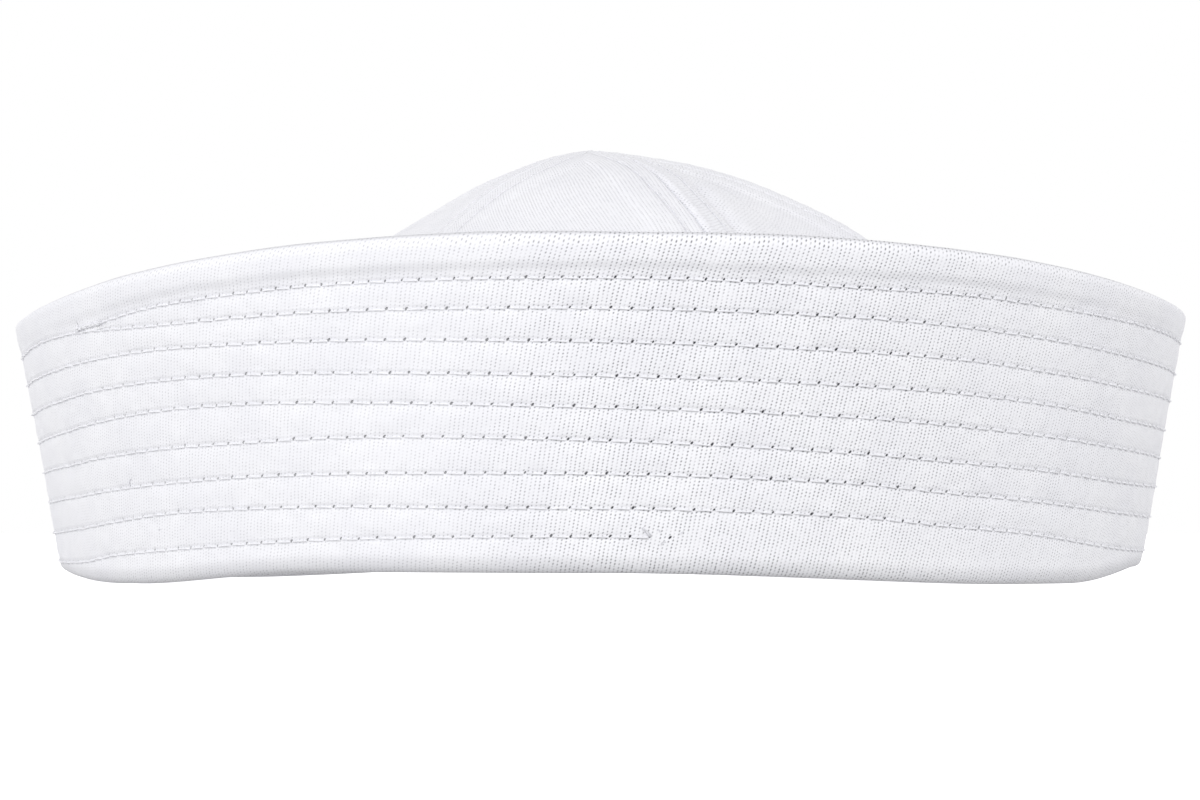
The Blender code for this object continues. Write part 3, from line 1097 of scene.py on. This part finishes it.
class StageSettings(PropertyGroup):
    """The pale floor and the studio's light."""

    floor: colour_setting("Floor", "Colour of the floor", "#F4F4F4")
    glow: FloatProperty(name="Floor glow", description="Light of the floor itself", default=0.8)
    key: FloatProperty(
        name="Key light", description="Power of the large lamp in front at the left",
        default=4.2, unit="POWER",
    )
    sky: FloatProperty(name="Side light", description="Light from all round", default=1.3)
    high_sky: FloatProperty(name="High light", description="Light from above", default=0.6)
    low_sky: FloatProperty(name="Low light", description="Light from below", default=0.42)
    back_share: share_setting("Back light", "How much darker the back is than the front", 0.12)


def brim_cotton(scene):
    """The brim's cloth, its ribs nearly upright."""
    name = "woven cotton drill, brim"
    rates = WeaveRates(1.0, -BRIM_LEAN_RIBS / BRIM_LOOP, BRIM_FLOATS / BRIM_LOOP, None)
    marks = partial(brim_row_marks, slant=scene.cap_thread.slant / MM)
    return cotton_drill(name, scene.cap_cloth, rates, marks, brim_edge_shade)


def crown_cotton(scene):
    """The crown's cloth: the same drill, cut so that its ribs run up to the left."""
    name = "woven cotton drill, crown"
    cloth = scene.cap_cloth
    ribs = MM / cloth.crown_rib
    lean = ribs * math.tan(CROWN_LEAN_OF_RIBS)
    rates = WeaveRates(ribs, lean, MM / cloth.float_step, CROWN_WEAVE)
    return cotton_drill(name, cloth, rates, crown_row_marks)


def thread_material(scene):
    """The thread, which every row of stitches shares."""
    name = "twisted polyester sewing thread"
    return bpy.data.materials.get(name) or sewing_thread(name, scene.cap_thread)


class CAP_OT_brim(Operator):
    """Builds the turned-up brim of two layers of cotton"""

    bl_idname = "cap.brim"
    bl_label = "Brim"

    def execute(self, context):
        make_brim(context.scene.cap_brim, brim_cotton(context.scene))
        return {"FINISHED"}


class CAP_OT_brim_stitches(Operator):
    """Sews the long row of stitches round the brim, seen on both of its faces"""

    bl_idname = "cap.brim_stitches"
    bl_label = "Brim stitches"

    def execute(self, context):
        brim, thread = context.scene.cap_brim, context.scene.cap_thread
        material = thread_material(context.scene)
        for inside, sides, name in ((False, 6, "brim_stitches"), (True, 5, "brim_stitches_inside")):
            rows = [brim_row(brim, thread, inside)]
            thread_object(rows, thread.width, sides, name, material)
        return {"FINISHED"}


class CAP_OT_crown(Operator):
    """Builds the crown's six gores with their pressed seams"""

    bl_idname = "cap.crown"
    bl_label = "Crown"

    def execute(self, context):
        material = crown_cotton(context.scene)
        for index in range(PANEL_COUNT):
            make_gore(index, context.scene.cap_crown, material)
        return {"FINISHED"}


class CAP_OT_crown_stitches(Operator):
    """Sews down the crown's seams with a row of stitches on each side"""

    bl_idname = "cap.crown_stitches"
    bl_label = "Crown stitches"

    def execute(self, context):
        crown, thread = context.scene.cap_crown, context.scene.cap_thread
        material = thread_material(context.scene)
        rows = [crown_row(index, side, crown) for index in range(PANEL_COUNT) for side in (-1, 1)]
        thread_object(rows, thread.width, 6, "crown_stitches", material)
        return {"FINISHED"}


class CAP_OT_thread_ends(Operator):
    """Adds the knot where the long row ends, the tail where it starts, and a little lint"""

    bl_idname = "cap.thread_ends"
    bl_label = "Thread ends and lint"

    def execute(self, context):
        brim, thread = context.scene.cap_brim, context.scene.cap_thread
        # the tail's grey material is painted shade; the lint shares it
        sewn, tail_shade_and_lint = thread_material(context.scene), tail_shade_and_lint_material(thread)
        for name, rows, sides, material in (
            ("thread_knot", [knot_points(brim)], 6, sewn),
            ("thread_tail", [tail_points(brim)], 8, tail_shade_and_lint),
            ("lint", [lint_points(row, brim) for row in LINT], 5, tail_shade_and_lint),
        ):
            thread_object(rows, thread.width, sides, name, material)
        return {"FINISHED"}


class CAP_OT_stage(Operator):
    """Lays the pale floor, lights the cap softly and sets up the camera"""

    bl_idname = "cap.stage"
    bl_label = "Floor, light and camera"

    def execute(self, context):
        stage = context.scene.cap_stage
        lay_floor(stage)
        light_stage(stage)
        set_camera()
        return {"FINISHED"}


def lay_floor(stage):
    """A wide matt floor that glows a little, so that it is as white as paper in a studio."""
    mesh = bmesh.new()
    bmesh.ops.create_grid(mesh, x_segments=1, y_segments=1, size=FLOOR_SIZE / 2)
    material, _, shader = start_material("matt white paper floor", 1.0)
    shader.inputs["Base Color"].default_value = stage.floor
    shader.inputs["Emission Color"].default_value = (1.0, 1.0, 1.0, 1.0)
    shader.inputs["Emission Strength"].default_value = stage.glow
    floor = link_mesh(mesh, "floor", material)
    floor.visible_diffuse = False


def light_stage(stage):
    """A white surround, brightest round the horizon and in front, and one large lamp."""
    world = bpy.data.worlds.new("white studio")
    world.use_nodes = True
    tree = world.node_tree
    tree.nodes.clear()
    x = add(tree, "SeparateXYZ", (add(tree, "TexCoord"),))
    y, z = x.node.outputs[1], x.node.outputs[2]
    glow = add(tree, "MapRange", (z, -0.6, 0.05, stage.low_sky, stage.sky))
    height = add(tree, "MapRange", (z, 0.15, 0.9))
    glow = add(tree, "Mix", {0: height, 2: glow, 3: stage.high_sky}, data_type="FLOAT")
    depth = add(tree, "MapRange", (y, -1.0, 1.0, 1.0 + stage.back_share, 1.0 - stage.back_share))
    glow = work(tree, "MULTIPLY", glow, depth)
    glow = add(tree, "Mix", {0: add(tree, "LightPath"), 2: glow, 3: 1.0}, data_type="FLOAT")
    shine = add(tree, "Background", {"Color": (1.0, 1.0, 1.0, 1.0), "Strength": glow})
    end = tree.nodes.new("ShaderNodeOutputWorld")
    tree.links.new(shine, end.inputs["Surface"])
    bpy.context.scene.world = world
    lamp = bpy.data.lights.new("key", "AREA")
    lamp.shape = "DISK"
    lamp.size = LAMP_SIZE
    lamp.energy = stage.key
    key = link_object("key", lamp)
    key.location = LAMP_PLACE
    aim = Vector(LAMP_AIM) - Vector(LAMP_PLACE)
    key.rotation_euler = aim.to_track_quat("-Z", "Y").to_euler()


def set_camera():
    """Straight at the cap's front from just above the floor."""
    view = bpy.data.cameras.new("photo view")
    view.lens = CAMERA_LENS
    view.sensor_fit = "HORIZONTAL"
    view.sensor_width = 36.0
    view.clip_start = 0.05
    view.clip_end = 50.0
    camera = link_object("photo view", view)
    camera.location = CAMERA_PLACE
    camera.rotation_euler = (CAMERA_TILT, 0.0, 0.0)


    scene = bpy.context.scene
    scene.camera = camera
    scene.view_settings.view_transform = "Standard"
    scene.view_settings.look = "None"
    scene.view_settings.exposure = 0.0
    scene.view_settings.gamma = 1.0


class VIEW3D_PT_cap(Panel):
    """Lists the cap's pieces and their settings."""

    bl_idname = "VIEW3D_PT_cap"
    bl_label = "Sailor cap"
    bl_space_type = "VIEW_3D"
    bl_region_type = "UI"
    bl_category = "Cap"

    def draw(self, context):
        for operator in OPERATORS:
            self.layout.operator(operator.bl_idname)
        for name, settings in SETTINGS.items():
            box = self.layout.box()
            box.label(text=settings.__doc__.rstrip("."))
            for key in settings.__annotations__:
                box.prop(getattr(context.scene, name), key)


SETTINGS = {
    "cap_cloth": ClothSettings,
    "cap_brim": BrimSettings,
    "cap_crown": CrownSettings,
    "cap_thread": ThreadSettings,
    "cap_stage": StageSettings,
}
OPERATORS = (
    CAP_OT_brim,
    CAP_OT_brim_stitches,
    CAP_OT_thread_ends,
    CAP_OT_crown,
    CAP_OT_crown_stitches,
    CAP_OT_stage,
)


def register():
    for settings in SETTINGS.values():
        bpy.utils.register_class(settings)
    for name, settings in SETTINGS.items():
        setattr(bpy.types.Scene, name, PointerProperty(type=settings))
    for shown in (*OPERATORS, VIEW3D_PT_cap):
        bpy.utils.register_class(shown)


def unregister():
    for shown in (VIEW3D_PT_cap, *reversed(OPERATORS)):
        bpy.utils.unregister_class(shown)
    for name, settings in reversed(SETTINGS.items()):
        delattr(bpy.types.Scene, name)
        bpy.utils.unregister_class(settings)


def main():
    """Builds the cap and its stage."""
    register()
    bpy.ops.cap.brim()
    bpy.ops.cap.brim_stitches()
    bpy.ops.cap.thread_ends()
    bpy.ops.cap.crown()
    bpy.ops.cap.crown_stitches()
    bpy.ops.cap.stage()


if __name__ == "__main__":
    main()
